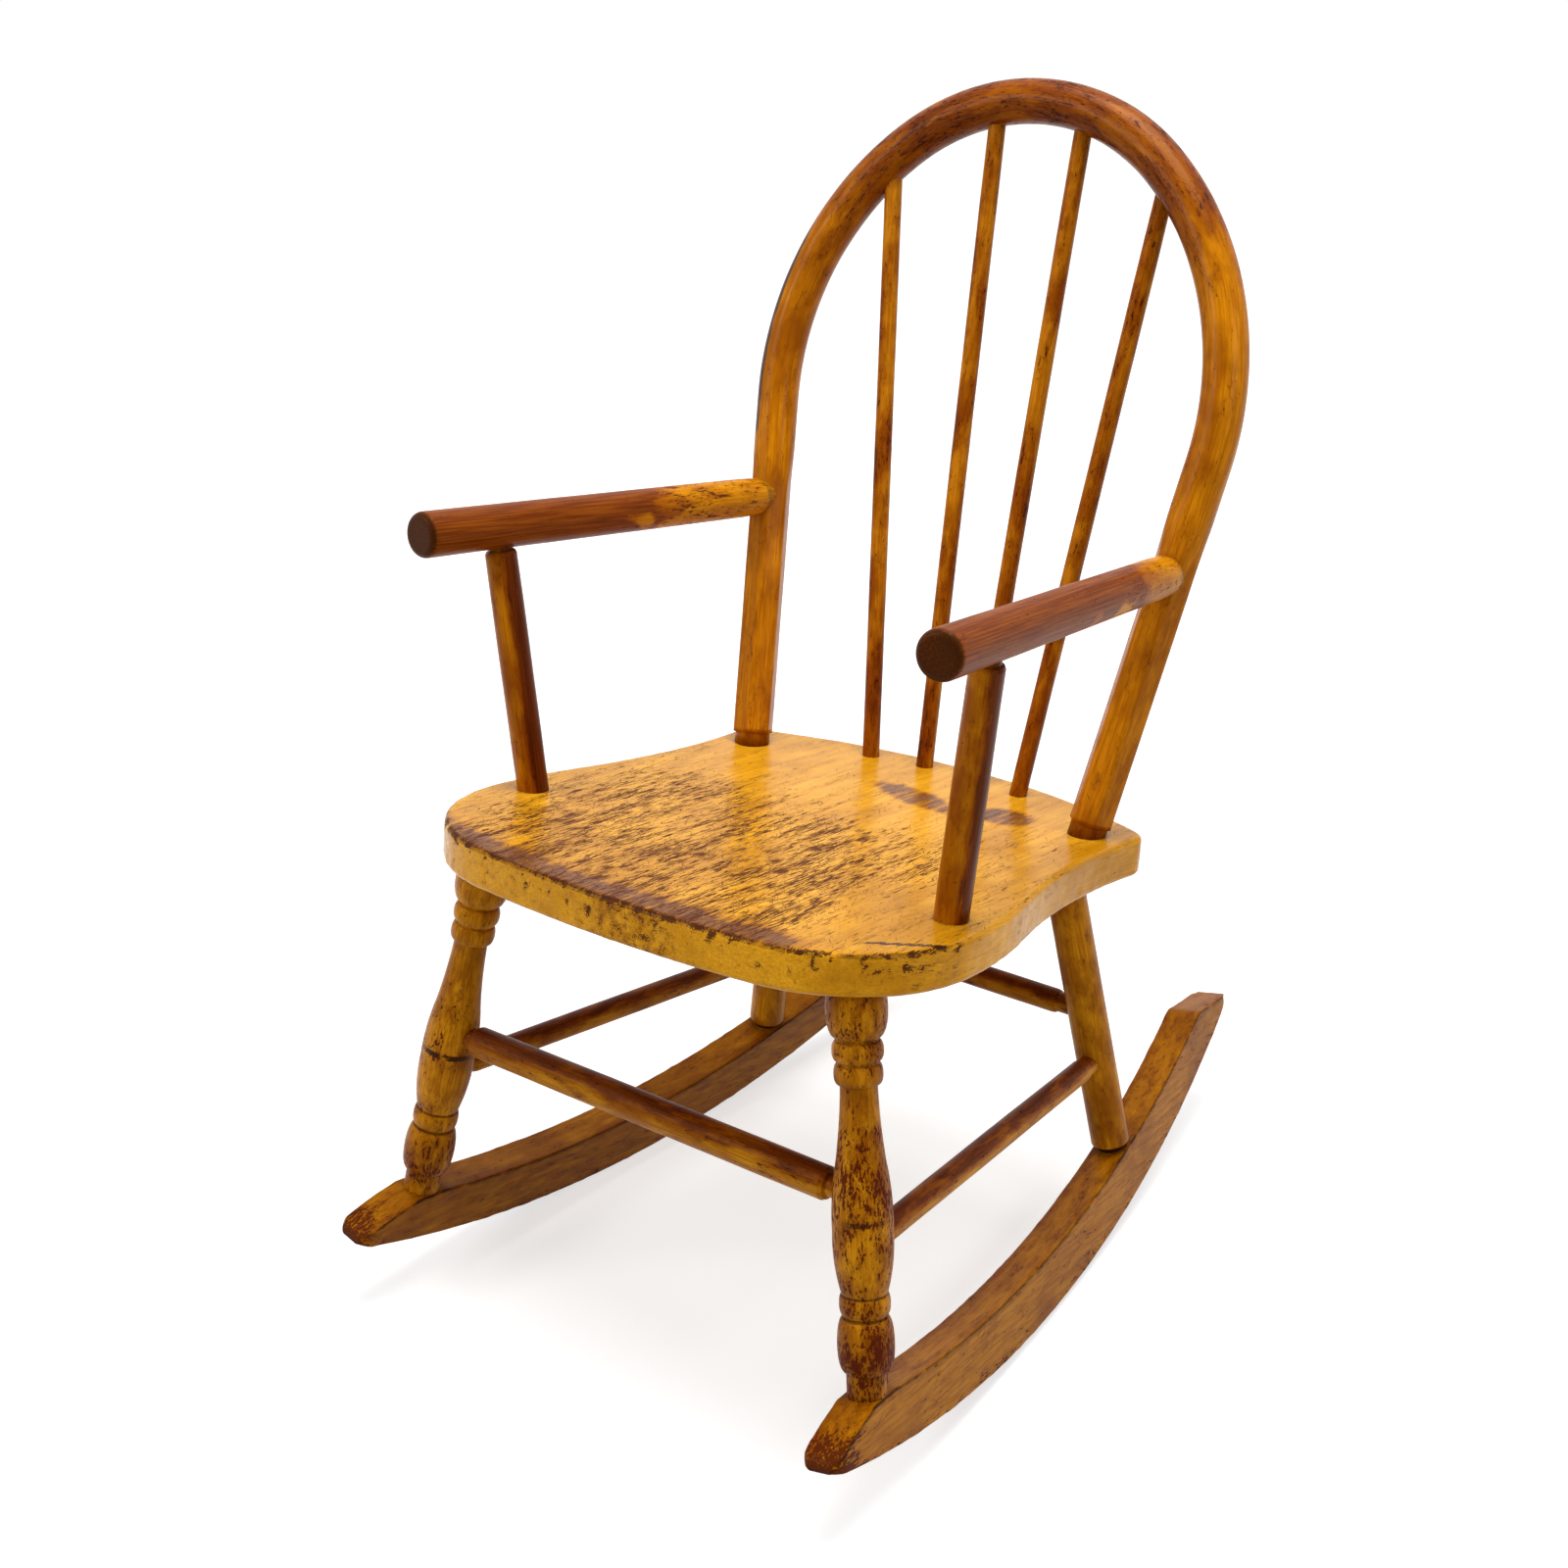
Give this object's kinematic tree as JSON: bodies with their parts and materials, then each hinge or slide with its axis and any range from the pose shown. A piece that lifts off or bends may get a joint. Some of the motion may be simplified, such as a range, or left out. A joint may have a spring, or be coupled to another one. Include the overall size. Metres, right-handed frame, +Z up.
{
  "type": "hoop back rocking chair",
  "caption": "Small wooden rocking chair with a bent hoop back and slim spindles, round arms on posts, a plank seat, turned front legs and curved rockers.",
  "frame": {"origin": "on the floor, under the middle of the chair's outline as it stands at rest", "axes": "+Z up, -Y is the way the sitter faces, +X towards the sitter's left"},
  "size_m": [0.3242, 0.4708, 0.5945],
  "materials": {
    "seat_paint": "satin",
    "hoop_paint": "satin",
    "spindle_paint": "satin",
    "arm_wood": "satin",
    "post_paint": "satin",
    "leg_paint": "satin",
    "stretcher_paint": "satin",
    "rocker_paint": "satin"
  },
  "bodies": {
    "root": {"seat": "seat_paint", "hoop": "hoop_paint", "spindle_inner_left": "spindle_paint", "spindle_inner_right": "spindle_paint", "spindle_outer_left": "spindle_paint", "spindle_outer_right": "spindle_paint", "arm_left": "arm_wood", "arm_right": "arm_wood", "arm_post_left": "post_paint", "arm_post_right": "post_paint", "front_leg_left": "leg_paint", "front_leg_right": "leg_paint", "rear_leg_left": "leg_paint", "rear_leg_right": "leg_paint", "front_stretcher": "stretcher_paint", "rear_stretcher": "stretcher_paint", "side_stretcher_left": "stretcher_paint", "side_stretcher_right": "stretcher_paint", "rocker_left": "rocker_paint", "rocker_right": "rocker_paint"}
  },
  "joints": []
}
